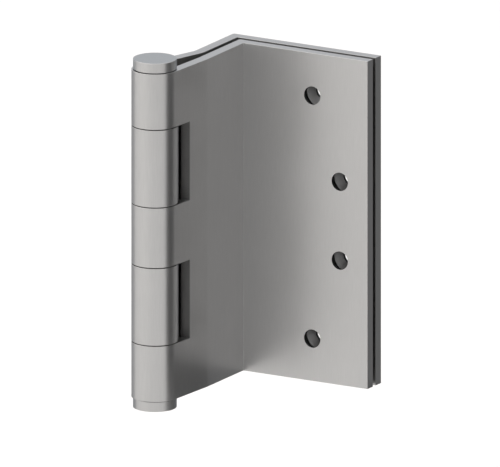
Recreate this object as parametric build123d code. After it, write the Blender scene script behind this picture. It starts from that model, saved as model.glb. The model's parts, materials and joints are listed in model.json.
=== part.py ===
from build123d import *
from math import acos, atan2, cos, degrees, hypot, radians, sin, tan
import os

# Plate of the two leaves, in millimetres
leaf_thickness = 3.6
leaf_gap = 1.9
leaf_height = 114.3
panel_width = 48.3
edge_rounding = 0.05

# Plan of the closed hinge, measured from the pin axis
barrel_clearance = 1.3
frame_reach = 43.6
frame_set_reach = 19.3
door_set_reach = 26.7

# Radii of the two bends in each leaf
set_radius = 8.0
corner_inside_radius = 0.1
corner_outside_radius = 0.8

# Barrel of five knuckles
barrel_diameter = 15.9
door_knuckle = 27.1
middle_knuckle = 21.1
joint_gap = 0.32
roll_seam = 0.3
notch_clearance = 1.3

# Screw holes, countersunk on the side that faces the other leaf
screw_hole_diameter = 6.35
countersink_angle = 82.0
countersink_land = 1.2
inner_column_inset = 10.8
outer_column_inset = 21.5
inner_spacing = 27.5
outer_end_inset = 14.75

# Flat tips, pin and bearing bushes
tip_step = 0.55
tip_height = 3.6
tip_undercut = 0.6
tip_gap = 0.2
tip_rounding = 0.08
pin_lead = 0.8
pin_end_gap = 1.0
end_space = 1.5
drive_hole_diameter = 3.2
bush_wall = 0.7
bush_pocket_wall = 1.7
bush_flange_thickness = 1.2
bush_sleeve_length = 5.0
running_clearance = 0.05
press_clearance = 0.02
thrust_play = 0.05

# Length by which a cutting block passes the face that it cuts
overcut = 1.0

# Values worked out from the sizes above
barrel_radius = barrel_diameter / 2
bore_radius = barrel_radius - leaf_thickness
press_radius = bore_radius - press_clearance
bush_bore_radius = press_radius - bush_wall
pin_radius = bush_bore_radius - running_clearance
tip_radius = barrel_radius - tip_step
stack = 2 * leaf_thickness + leaf_gap
frame_face = barrel_radius + barrel_clearance
door_face = frame_face - stack
door_reach = frame_reach + stack
free_edge = frame_face + panel_width
end_knuckle = (leaf_height - middle_knuckle) / 2 - door_knuckle
leaf_top = leaf_height / 2
leaf_bottom = -leaf_top
notch_reach = barrel_radius + notch_clearance
bush_depth = thrust_play / 2 + bush_flange_thickness
shoulder_length = end_knuckle - bush_depth - bush_sleeve_length - end_space
pin_end = leaf_bottom + shoulder_length + pin_end_gap
pattern_reach = free_edge - (inner_column_inset + outer_column_inset) / 2

# Heights of the four joints between knuckles, from the top down
joint_1 = leaf_top - end_knuckle
joint_2 = joint_1 - door_knuckle
joint_3 = joint_2 - middle_knuckle
joint_4 = joint_3 - door_knuckle
half_gap = joint_gap / 2

# The origin is on the frame leaf's mounting face, in the middle of its screw holes
from_pin_axis = Pos(-pattern_reach, -frame_reach, 0)
on_base = (Align.CENTER, Align.CENTER, Align.MIN)


def root_lean(face, set_reach):
    # Turn of the plate next to the barrel, where its face is tangent to the barrel
    return atan2(set_reach, face) - acos(barrel_radius / hypot(face, set_reach))


def across_plate(point, normal_a, normal_b):
    # Bend point on the gap side, opposite a bend point on the face side
    return point - (normal_a + normal_b) * (leaf_thickness / (1 + normal_a.dot(normal_b)))


def leaf_profile(set_point, corner, edge, panel_normal, face_radii, gap_radii):
    # Plan of a leaf: plate with a set and a square corner, rolled round the pin axis
    lean = root_lean(set_point.X, set_point.Y)
    seam_turn = degrees(acos((bore_radius - roll_seam) / barrel_radius))
    root_normal = Vector(cos(lean), sin(lean))
    roll_end = root_normal.rotate(Axis.Z, seam_turn)
    mid_normal = Vector(1, 0)
    edge_back = edge - panel_normal * leaf_thickness
    corner_back = across_plate(corner, mid_normal, panel_normal)
    set_back = across_plate(set_point, root_normal, mid_normal)
    root_face = root_normal * barrel_radius
    root_back = root_normal * bore_radius
    with BuildSketch() as profile:
        with BuildLine():
            FilletPolyline(root_face, set_point, corner, edge, radius=face_radii)
            Line(edge, edge_back)
            FilletPolyline(edge_back, corner_back, set_back, root_back, radius=gap_radii)
            CenterArc((0, 0), bore_radius, degrees(lean), seam_turn - 360)
            Line(roll_end * bore_radius, roll_end * barrel_radius)
            CenterArc((0, 0), barrel_radius, degrees(lean) + seam_turn, 360 - seam_turn)
        make_face()
    return profile.sketch


def notch(lean, low, high):
    # Room for one knuckle of the other leaf, cut square across the plate
    depth = barrel_radius + notch_reach + overcut
    width = barrel_diameter + 2 * overcut
    block = Box(width, depth, high - low, align=(Align.CENTER, Align.MAX, Align.MIN))
    return Rot(0, 0, degrees(lean)) * Pos(0, notch_reach, low) * block


def rounded_edges(blank, lean, edge_x):
    # Rims of the knuckles and outline of the plate, without the inside corners of the notches
    along_plate = Vector(-sin(lean), cos(lean))

    def on_notch_wall(edge):
        reaches = [Vector(*corner).dot(along_plate) for corner in edge.vertices()]
        return all(abs(reach - notch_reach) < edge_rounding for reach in reaches)

    rims = [edge for edge in blank.faces().filter_by(Axis.Z).edges() if not on_notch_wall(edge)]
    free_corners = blank.edges().filter_by(Axis.Z).filter_by_position(Axis.X, edge_x, edge_x)
    return rims + list(free_corners)


def bush_pocket(height, side):
    # Counterbore for a bush flange, above a joint where side is 1 and below it where -1
    pocket = Cylinder(barrel_radius - bush_pocket_wall, bush_depth)
    return Pos(0, 0, height + side * bush_depth / 2) * pocket


def screw_holes(reach, side):
    # Four countersunk holes with their mouths on the gap side, at reach from the pin axis
    radius = screw_hole_diameter / 2
    depth = leaf_thickness - countersink_land
    mouth_radius = radius + depth * tan(radians(countersink_angle / 2))
    bore = Pos(0, 0, -leaf_thickness - overcut) * Cylinder(radius, leaf_thickness + 2 * overcut, align=on_base)
    sink = Pos(0, 0, -depth) * Cone(radius, mouth_radius, depth, align=on_base)
    hole = bore + sink
    inner_x = free_edge - inner_column_inset
    outer_x = free_edge - outer_column_inset
    inner_z = inner_spacing / 2
    outer_z = leaf_top - outer_end_inset
    places = [(outer_x, outer_z), (inner_x, inner_z), (inner_x, -inner_z), (outer_x, -outer_z)]
    return [Plane((x, reach, z), z_dir=(0, side, 0)) * hole for x, z in places]


def rolled_leaf(profile, lean, edge_x, notch_spans, pockets):
    # Leaf with its knuckles, before the screw holes are drilled
    blank = extrude(profile, leaf_top, both=True)
    for low, high in notch_spans:
        blank -= notch(lean, low, high)
    blank = fillet(rounded_edges(blank, lean, edge_x), edge_rounding)
    for height, side in pockets:
        blank -= bush_pocket(height, side)
    return blank


def frame_leaf():
    # Leaf with knuckles one, three and five, inside the fold of the other leaf
    set_point = Vector(frame_face, frame_set_reach)
    corner = Vector(frame_face, frame_reach)
    edge = Vector(free_edge, frame_reach)
    face_radii = (set_radius + leaf_thickness, corner_inside_radius)
    gap_radii = (corner_outside_radius, set_radius)
    profile = leaf_profile(set_point, corner, edge, Vector(0, -1), face_radii, gap_radii)
    lean = root_lean(frame_face, frame_set_reach)
    notch_spans = [(joint_2 - half_gap, joint_1 + half_gap), (joint_4 - half_gap, joint_3 + half_gap)]
    pockets = [(joint_1, 1), (joint_2, -1), (joint_3, 1), (joint_4, -1)]
    leaf = rolled_leaf(profile, lean, free_edge, notch_spans, pockets)
    for hole in screw_holes(frame_reach + leaf_thickness, 1):
        leaf -= hole
    return leaf


def door_leaf():
    # Leaf with knuckles two and four, drawn with X reversed and then mirrored
    set_point = Vector(-door_face, door_set_reach)
    corner = Vector(-door_face, door_reach)
    edge = Vector(-free_edge, door_reach)
    face_radii = (set_radius, corner_outside_radius)
    gap_radii = (corner_inside_radius, set_radius + leaf_thickness)
    profile = leaf_profile(set_point, corner, edge, Vector(0, 1), face_radii, gap_radii)
    lean = root_lean(-door_face, door_set_reach)
    notch_spans = [
        (joint_1 - half_gap, leaf_top + overcut),
        (joint_3 - half_gap, joint_2 + half_gap),
        (leaf_bottom - overcut, joint_4 + half_gap),
    ]
    pockets = [(joint_1, -1), (joint_2, 1), (joint_3, -1), (joint_4, 1)]
    leaf = mirror(rolled_leaf(profile, lean, -free_edge, notch_spans, pockets), Plane.YZ)
    for hole in screw_holes(door_reach - leaf_thickness, -1):
        leaf -= hole
    return leaf


def flat_tip():
    # Button with rounded rims that closes one end of the barrel, on a short neck from Z = 0
    neck = Cylinder(tip_radius - tip_undercut, tip_gap, align=on_base)
    disc = Pos(0, 0, tip_gap) * Cylinder(tip_radius, tip_height - tip_gap, align=on_base)
    return neck + fillet(disc.edges().filter_by(GeomType.CIRCLE), tip_rounding)


def hinge_pin():
    # Pin with a button head, a shoulder that fits the top knuckle and a lead at its foot
    shoulder = Pos(0, 0, leaf_top - shoulder_length) * Cylinder(press_radius, shoulder_length, align=on_base)
    shank = Cylinder(pin_radius, leaf_top - pin_end, align=on_base)
    shank = chamfer(shank.edges().sort_by(Axis.Z)[0], pin_lead)
    return Pos(0, 0, leaf_top) * flat_tip() + shoulder + Pos(0, 0, pin_end) * shank


def bottom_tip():
    # Button plug for the lowest knuckle, with a hole through which the pin is driven out
    stem = Pos(0, 0, leaf_bottom) * Cylinder(press_radius, shoulder_length, align=on_base)
    button = Pos(0, 0, leaf_bottom) * mirror(flat_tip(), Plane.XY)
    drive_hole = Cylinder(drive_hole_diameter / 2, 2 * (tip_height + shoulder_length) + overcut)
    return button + stem - Pos(0, 0, leaf_bottom) * drive_hole


def bearing_bush():
    # Flanged bush for the knuckle above a joint whose middle is at Z = 0
    flange_radius = barrel_radius - bush_pocket_wall - press_clearance
    flange = Pos(0, 0, thrust_play / 2) * Cylinder(flange_radius, bush_flange_thickness, align=on_base)
    sleeve = Pos(0, 0, bush_depth) * Cylinder(press_radius, bush_sleeve_length, align=on_base)
    return flange + sleeve - Cylinder(bush_bore_radius, 2 * (bush_depth + bush_sleeve_length) + overcut)


pieces = {
    "frame_leaf": frame_leaf(),
    "door_leaf": door_leaf(),
    "hinge_pin": hinge_pin(),
    "bottom_tip": bottom_tip(),
}
for number, height in enumerate([joint_1, joint_2, joint_3, joint_4], start=1):
    pieces[f"bearing_bush_{number}_upper"] = Pos(0, 0, height) * bearing_bush()
    pieces[f"bearing_bush_{number}_lower"] = Pos(0, 0, height) * mirror(bearing_bush(), Plane.XY)

os.makedirs("parts", exist_ok=True)
for node, piece in pieces.items():
    export_step(from_pin_axis * piece, f"parts/{node}.step")
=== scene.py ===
import bpy
import json
import math
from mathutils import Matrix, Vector


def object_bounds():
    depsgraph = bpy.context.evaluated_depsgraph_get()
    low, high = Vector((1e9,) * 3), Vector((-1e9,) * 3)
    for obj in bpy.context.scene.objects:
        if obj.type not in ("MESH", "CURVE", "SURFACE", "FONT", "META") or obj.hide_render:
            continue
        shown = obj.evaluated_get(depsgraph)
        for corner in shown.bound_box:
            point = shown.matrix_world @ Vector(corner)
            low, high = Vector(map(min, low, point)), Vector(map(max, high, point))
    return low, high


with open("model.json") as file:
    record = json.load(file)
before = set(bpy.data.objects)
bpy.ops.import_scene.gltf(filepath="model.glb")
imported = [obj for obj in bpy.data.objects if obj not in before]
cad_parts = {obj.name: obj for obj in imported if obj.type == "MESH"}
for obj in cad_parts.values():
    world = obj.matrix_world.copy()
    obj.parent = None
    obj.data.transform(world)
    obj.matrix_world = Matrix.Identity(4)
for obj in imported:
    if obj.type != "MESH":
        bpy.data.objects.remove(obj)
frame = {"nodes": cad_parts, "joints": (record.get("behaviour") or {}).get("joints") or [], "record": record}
nodes = frame["nodes"]
cadLow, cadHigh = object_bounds()
pinAxis = Vector(frame["joints"][0]["pos_m"])
print("frame loaded,", len(nodes), "pieces")

scene = bpy.context.scene
scene.view_settings.view_transform = "Standard"


# shared shader groups, built once and placed in each material

def newGroup(name, inputs, outputs):
    group = bpy.data.node_groups.new(name, "ShaderNodeTree")
    for label, kind in inputs:
        group.interface.new_socket(label, in_out="INPUT", socket_type="NodeSocket" + kind)
    for label, kind in outputs:
        group.interface.new_socket(label, in_out="OUTPUT", socket_type="NodeSocket" + kind)
    return group, group.nodes.new("NodeGroupInput"), group.nodes.new("NodeGroupOutput")


def addNode(tree, kind, **settings):
    node = tree.nodes.new("ShaderNode" + kind)
    for key, value in settings.items():
        setattr(node, key, value)
    return node


def setInputs(node, **values):
    for key, value in values.items():
        node.inputs[key.replace("_", " ")].default_value = value
    return node


def makeGrainGroup():  # fine brush lines, drawn out along one axis
    group, source, result = newGroup(
        "brushedGrain",
        [("Position", "Vector"), ("Stretch", "Vector")],
        [("Height", "Float"), ("Tone", "Float")])
    scaled = addNode(group, "VectorMath", operation="MULTIPLY")
    fine = setInputs(addNode(group, "TexNoise"), Scale=4.0, Detail=2.0, Roughness=0.6)  # single lines
    broad = setInputs(addNode(group, "TexNoise"), Scale=0.9, Detail=3.0, Roughness=0.5)  # bands of lines
    link = group.links.new
    link(source.outputs["Position"], scaled.inputs[0])
    link(source.outputs["Stretch"], scaled.inputs[1])
    link(scaled.outputs[0], fine.inputs["Vector"])
    link(scaled.outputs[0], broad.inputs["Vector"])
    link(fine.outputs["Fac"], result.inputs["Height"])
    link(broad.outputs["Fac"], result.inputs["Tone"])
    return group


def makeCloudGroup():  # slow cloudy change of tone over a satin plate
    group, source, result = newGroup(
        "satinCloud",
        [("Position", "Vector"), ("Scale", "Float")],
        [("Tone", "Float")])
    noise = setInputs(addNode(group, "TexNoise"), Detail=4.0, Roughness=0.55)
    spread = setInputs(addNode(group, "MapRange"), From_Min=0.3, From_Max=0.7)
    link = group.links.new
    link(source.outputs["Position"], noise.inputs["Vector"])
    link(source.outputs["Scale"], noise.inputs["Scale"])
    link(noise.outputs["Fac"], spread.inputs["Value"])
    link(spread.outputs["Result"], result.inputs["Tone"])
    return group


def makePaintedShadeGroup():  # mask of joints and inside corners from ambient occlusion, where painted shade darkens the colour
    group, source, result = newGroup("paintedShadeMask", [("Reach", "Float")], [("Mask", "Float")])
    shade = addNode(group, "AmbientOcclusion", samples=8)
    spread = setInputs(addNode(group, "MapRange"), From_Min=0.62, From_Max=0.15)  # open faces get no painted shade
    link = group.links.new
    link(source.outputs["Reach"], shade.inputs["Distance"])
    link(shade.outputs["AO"], spread.inputs["Value"])
    link(spread.outputs["Result"], result.inputs["Mask"])
    return group


def makeHoleShadeGroup():  # mask of the screw holes' straight walls, two pairs mirrored in height, where painted shade darkens the walls
    group, source, result = newGroup(
        "drilledMask",
        [("Position", "Vector"), ("Normal", "Vector"), ("Outer Hole", "Vector"), ("Inner Hole", "Vector"),
         ("Radius", "Float"), ("Wall Tilt", "Float")],
        [("Mask", "Float")])
    link = group.links.new
    place = addNode(group, "SeparateXYZ")
    height = addNode(group, "Math", operation="ABSOLUTE")
    folded = addNode(group, "CombineXYZ")
    link(source.outputs["Position"], place.inputs[0])
    link(place.outputs["Z"], height.inputs[0])
    link(place.outputs["X"], folded.inputs["X"])
    link(height.outputs[0], folded.inputs["Z"])
    nearest = addNode(group, "Math", operation="MINIMUM")
    for index, label in enumerate(("Outer Hole", "Inner Hole")):
        away = addNode(group, "VectorMath", operation="DISTANCE")
        link(folded.outputs[0], away.inputs[0])
        link(source.outputs[label], away.inputs[1])
        link(away.outputs["Value"], nearest.inputs[index])
    inside = addNode(group, "Math", operation="LESS_THAN")
    link(nearest.outputs[0], inside.inputs[0])
    link(source.outputs["Radius"], inside.inputs[1])
    facing = addNode(group, "SeparateXYZ")
    tilt = addNode(group, "Math", operation="ABSOLUTE")
    steep = addNode(group, "Math", operation="LESS_THAN")
    link(source.outputs["Normal"], facing.inputs[0])
    link(facing.outputs["Y"], tilt.inputs[0])
    link(tilt.outputs[0], steep.inputs[0])
    link(source.outputs["Wall Tilt"], steep.inputs[1])
    both = addNode(group, "Math", operation="MULTIPLY")
    link(inside.outputs[0], both.inputs[0])
    link(steep.outputs[0], both.inputs[1])
    link(both.outputs[0], result.inputs["Mask"])
    return group


grainGroup = makeGrainGroup()
cloudGroup = makeCloudGroup()
paintedShadeGroup = makePaintedShadeGroup()
drilledGroup = makeHoleShadeGroup()
print("shader groups ready")


# satin metal

def useGroup(tree, group, **values):
    node = addNode(tree, "Group", node_tree=group)
    return setInputs(node, **values)


def mixColour(tree, factor, first, second):
    node = addNode(tree, "Mix", data_type="RGBA")
    for name, value in (("A_Color", first), ("B_Color", second)):
        socket = next(s for s in node.inputs if s.identifier == name)
        if isinstance(value, bpy.types.NodeSocket):
            tree.links.new(value, socket)
        else:
            socket.default_value = (*value, 1.0)
    tree.links.new(factor, node.inputs["Factor"])
    return next(s for s in node.outputs if s.identifier == "Result_Color")


def makeMetal(name, look):
    material = bpy.data.materials.new(name)
    material.use_nodes = True
    tree = material.node_tree
    link = tree.links.new
    shader = tree.nodes["Principled BSDF"]
    setInputs(shader, Metallic=1.0, Specular_Tint=(*look["grazing"], 1.0))
    coordinates = addNode(tree, "TexCoord")
    place = coordinates.outputs["Object"]
    grain = useGroup(tree, grainGroup, Stretch=look["grainStretch"])
    cloud = useGroup(tree, cloudGroup, Scale=look["cloudScale"])
    paintedShade = useGroup(tree, paintedShadeGroup, Reach=look["paintedShadeReach"])
    link(place, grain.inputs["Position"])
    link(place, cloud.inputs["Position"])
    clouded = mixColour(tree, cloud.outputs["Tone"], look["dark"], look["light"])
    toned = mixColour(tree, grain.outputs["Height"], clouded, look["brush"])
    # painted shade: the screw holes' straight walls are darkened to near black
    if "drilled" in look:
        holes = useGroup(tree, drilledGroup, **look["holes"])
        link(place, holes.inputs["Position"])
        link(coordinates.outputs["Normal"], holes.inputs["Normal"])
        toned = mixColour(tree, holes.outputs["Mask"], toned, look["drilled"])
    # painted shade: the ambient occlusion mask darkens joints and inside corners towards a near-black colour
    colour = mixColour(tree, paintedShade.outputs["Mask"], toned, look["paintedShadeColour"])
    link(colour, shader.inputs["Base Color"])
    rough = setInputs(addNode(tree, "MapRange"), To_Min=look["roughLow"], To_Max=look["roughHigh"])
    link(grain.outputs["Tone"], rough.inputs["Value"])
    link(rough.outputs["Result"], shader.inputs["Roughness"])
    bump = setInputs(addNode(tree, "Bump"), Strength=look["bump"], Distance=look["bumpDepth"])
    link(grain.outputs["Height"], bump.inputs["Height"])
    link(bump.outputs["Normal"], shader.inputs["Normal"])
    return material


millimetre = 0.001
mounts = {mount["name"]: mount for mount in frame["record"]["mounts"]}
holeMargin = 0.0004  # metres beyond the straight wall


def upperHole(mountName):  # middle of the upper one of a pair of screw holes
    mount = mounts[mountName]
    return (mount["pos_m"][0], 0.0, mount["dims"]["spacing_y_mm"] / 2 * millimetre)


holeLook = {
    "Outer_Hole": upperHole("frame_outer_screws"),
    "Inner_Hole": upperHole("frame_inner_screws"),
    "Radius": mounts["frame_outer_screws"]["dims"]["hole_r_mm"] * millimetre + holeMargin,
    "Wall_Tilt": 0.3,  # a countersink leans more than this
}
metalLook = {
    "light": (0.477, 0.4745, 0.4725),
    "dark": (0.457, 0.4545, 0.453),
    "brush": (0.408, 0.406, 0.4045),
    # near-black colour of the painted shade in joints and inside corners
    "paintedShadeColour": (0.05, 0.05, 0.05),
    "grazing": (0.72, 0.74, 0.77),
    "roughLow": 0.28,
    "roughHigh": 0.36,
    "grainStretch": (900, 900, 40),
    "cloudScale": 90.0,
    "paintedShadeReach": 0.0006,  # metres, how far the painted shade's occlusion looks
    "bump": 0.25,
    "bumpDepth": 0.00002,  # metres
}
# leaf steel with painted shade, near black, on the screw holes' walls
leafLook = dict(metalLook, drilled=(0.03, 0.03, 0.029), holes=holeLook)
pinLook = dict(metalLook, grazing=(0.58, 0.625, 0.67))
bushLook = dict(
    metalLook,
    light=(0.50, 0.34, 0.17),
    dark=(0.42, 0.28, 0.135),
    brush=(0.36, 0.24, 0.115),
    # dark brown colour of the bush's painted shade in joints and inside corners
    paintedShadeColour=(0.10, 0.07, 0.04),
    roughLow=0.4,
    roughHigh=0.55)

metals = {
    "leaf_steel": makeMetal("satinLeafSteel", leafLook),
    "pin_steel": makeMetal("satinPinSteel", pinLook),
    "bush_bronze": makeMetal("oiledBushBronze", bushLook),
}
for piece in frame["record"]["subparts"]:
    mesh = nodes[piece["node"]].data
    mesh.materials.clear()
    mesh.materials.append(metals[piece["material_slot"]])
print("metals placed on", len(nodes), "pieces")


# floor, world and lamps

stageLook = {
    "floorSize": 6.0,
    "floorColour": (0.92, 0.92, 0.92),
    "floorGlow": 0.35,
    "skyColour": (0.985, 0.99, 1.0),
    "skyFill": 0.45,
    "floorDrop": 0.05,  # metres of air below the hinge
    "cardDrop": 0.03,
}
floorHeight = cadLow.z - stageLook["floorDrop"]
cardFoot = cadLow.z - stageLook["cardDrop"]


def backgroundRays(tree):  # 1 for rays that show the background: camera, glossy and transmission
    path = addNode(tree, "LightPath")
    first = addNode(tree, "Math", operation="MAXIMUM")
    second = addNode(tree, "Math", operation="MAXIMUM")
    tree.links.new(path.outputs["Is Camera Ray"], first.inputs[0])
    tree.links.new(path.outputs["Is Glossy Ray"], first.inputs[1])
    tree.links.new(first.outputs[0], second.inputs[0])
    tree.links.new(path.outputs["Is Transmission Ray"], second.inputs[1])
    return second.outputs[0]


def makeFloor(look):
    half = look["floorSize"] / 2
    mesh = bpy.data.meshes.new("floor")
    corners = [(x, y, floorHeight) for x, y in ((-half, -half), (half, -half), (half, half), (-half, half))]
    mesh.from_pydata(corners, [], [(0, 1, 2, 3)])
    floor = bpy.data.objects.new("floor", mesh)
    scene.collection.objects.link(floor)
    material = bpy.data.materials.new("paleFloor")
    material.use_nodes = True
    tree = material.node_tree
    tree.nodes.clear()
    paint = addNode(tree, "BsdfDiffuse")
    paint.inputs["Color"].default_value = (*look["floorColour"], 1.0)
    glow = addNode(tree, "Emission")
    amount = addNode(tree, "Math", operation="MULTIPLY")
    amount.inputs[1].default_value = look["floorGlow"]
    mix = addNode(tree, "MixShader")
    out = addNode(tree, "OutputMaterial")
    tree.links.new(backgroundRays(tree), amount.inputs[0])
    tree.links.new(amount.outputs[0], mix.inputs["Fac"])
    tree.links.new(paint.outputs[0], mix.inputs[1])
    tree.links.new(glow.outputs[0], mix.inputs[2])
    tree.links.new(mix.outputs[0], out.inputs["Surface"])
    mesh.materials.append(material)


def makeWorld(look):
    world = bpy.data.worlds.new("studio")
    scene.world = world
    world.use_nodes = True
    tree = world.node_tree
    sky = tree.nodes["Background"]
    sky.inputs["Color"].default_value = (*look["skyColour"], 1.0)
    level = setInputs(addNode(tree, "MapRange"), To_Min=look["skyFill"], To_Max=1.0)
    tree.links.new(backgroundRays(tree), level.inputs["Value"])
    tree.links.new(level.outputs["Result"], sky.inputs["Strength"])


def addLamp(name, place, size, power, colour):
    lamp = bpy.data.lights.new(name, "AREA")
    lamp.shape = "RECTANGLE"
    lamp.size, lamp.size_y = size
    lamp.energy = power
    lamp.color = colour
    body = bpy.data.objects.new(name, lamp)
    body.location = place
    body.rotation_euler = (-Vector(place)).to_track_quat("-Z", "Y").to_euler()
    scene.collection.objects.link(body)


flags = [
    {"name": "edgeFlag", "plan": [(0.022, 0.002), (0.022, 0.12)], "top": 0.1, "tone": 0.25},
    {"name": "barrelFlag", "plan": [(0.076, -0.054), (0.022, 0.002)], "top": 0.06, "tone": 0.12},
    {"name": "backCard", "plan": [(-0.085, -0.053), (-0.075, 0.01)], "top": 0.05, "tone": 0.62},
    {"name": "footFlag", "plan": [(-0.008, 0.012), (0.022, 0.012)], "top": -0.0585, "tone": 0.1},
    {"name": "footCard", "plan": [(-0.045, 0.012), (-0.008, 0.012)], "top": -0.0585, "tone": 0.29},
]


def addFlag(name, plan, top, tone):  # card beside the hinge that only its metal shows
    corners = [(*plan[0], cardFoot), (*plan[1], cardFoot), (*plan[1], top), (*plan[0], top)]
    mesh = bpy.data.meshes.new(name)
    mesh.from_pydata(corners, [], [(0, 1, 2, 3)])
    flag = bpy.data.objects.new(name, mesh)
    flag.visible_camera = False
    flag.visible_shadow = False
    flag.visible_diffuse = False
    scene.collection.objects.link(flag)
    material = bpy.data.materials.new(name)
    material.use_nodes = True
    tree = material.node_tree
    tree.nodes.remove(tree.nodes["Principled BSDF"])
    glow = setInputs(addNode(tree, "Emission"), Strength=tone)
    tree.links.new(glow.outputs[0], tree.nodes["Material Output"].inputs["Surface"])
    mesh.materials.append(material)


lamps = [
    {"name": "keyLamp", "place": (-1.0, -1.3, 1.2), "size": (2.8, 2.8), "power": 33.5,
     "colour": (1.0, 0.945, 0.875)},
    {"name": "topLamp", "place": (0.0, 0.0, 1.6), "size": (3.0, 3.0), "power": 30.5,
     "colour": (1.0, 0.975, 0.945)},
]
makeFloor(stageLook)
makeWorld(stageLook)
for flag in flags:
    addFlag(**flag)
for lamp in lamps:
    addLamp(**lamp)
print("floor,", len(flags), "cards and", len(lamps), "lamps ready")


# camera, parallel view of the photograph

cameraLook = {
    "azimuth": 30.0,
    "elevation": 15.08,
    "width": 0.16846,  # metres across the picture
    "shiftRight": 0.03204,  # metres from the pin axis
    "shiftUp": -0.0004,
    "distance": 0.8,
}


def makeCamera(look):
    turn = math.radians(look["azimuth"])
    tilt = math.radians(look["elevation"])
    back = Vector((math.sin(turn) * math.cos(tilt), -math.cos(turn) * math.cos(tilt), math.sin(tilt)))
    right = Vector((math.cos(turn), math.sin(turn), 0))
    up = back.cross(right)
    lens = bpy.data.cameras.new("camera")
    lens.type = "ORTHO"
    lens.ortho_scale = look["width"]
    camera = bpy.data.objects.new("camera", lens)
    target = pinAxis + right * look["shiftRight"] + up * look["shiftUp"]
    camera.location = target + back * look["distance"]
    camera.rotation_euler = (-back).to_track_quat("-Z", "Y").to_euler()
    scene.collection.objects.link(camera)
    scene.camera = camera


makeCamera(cameraLook)
print("camera ready")
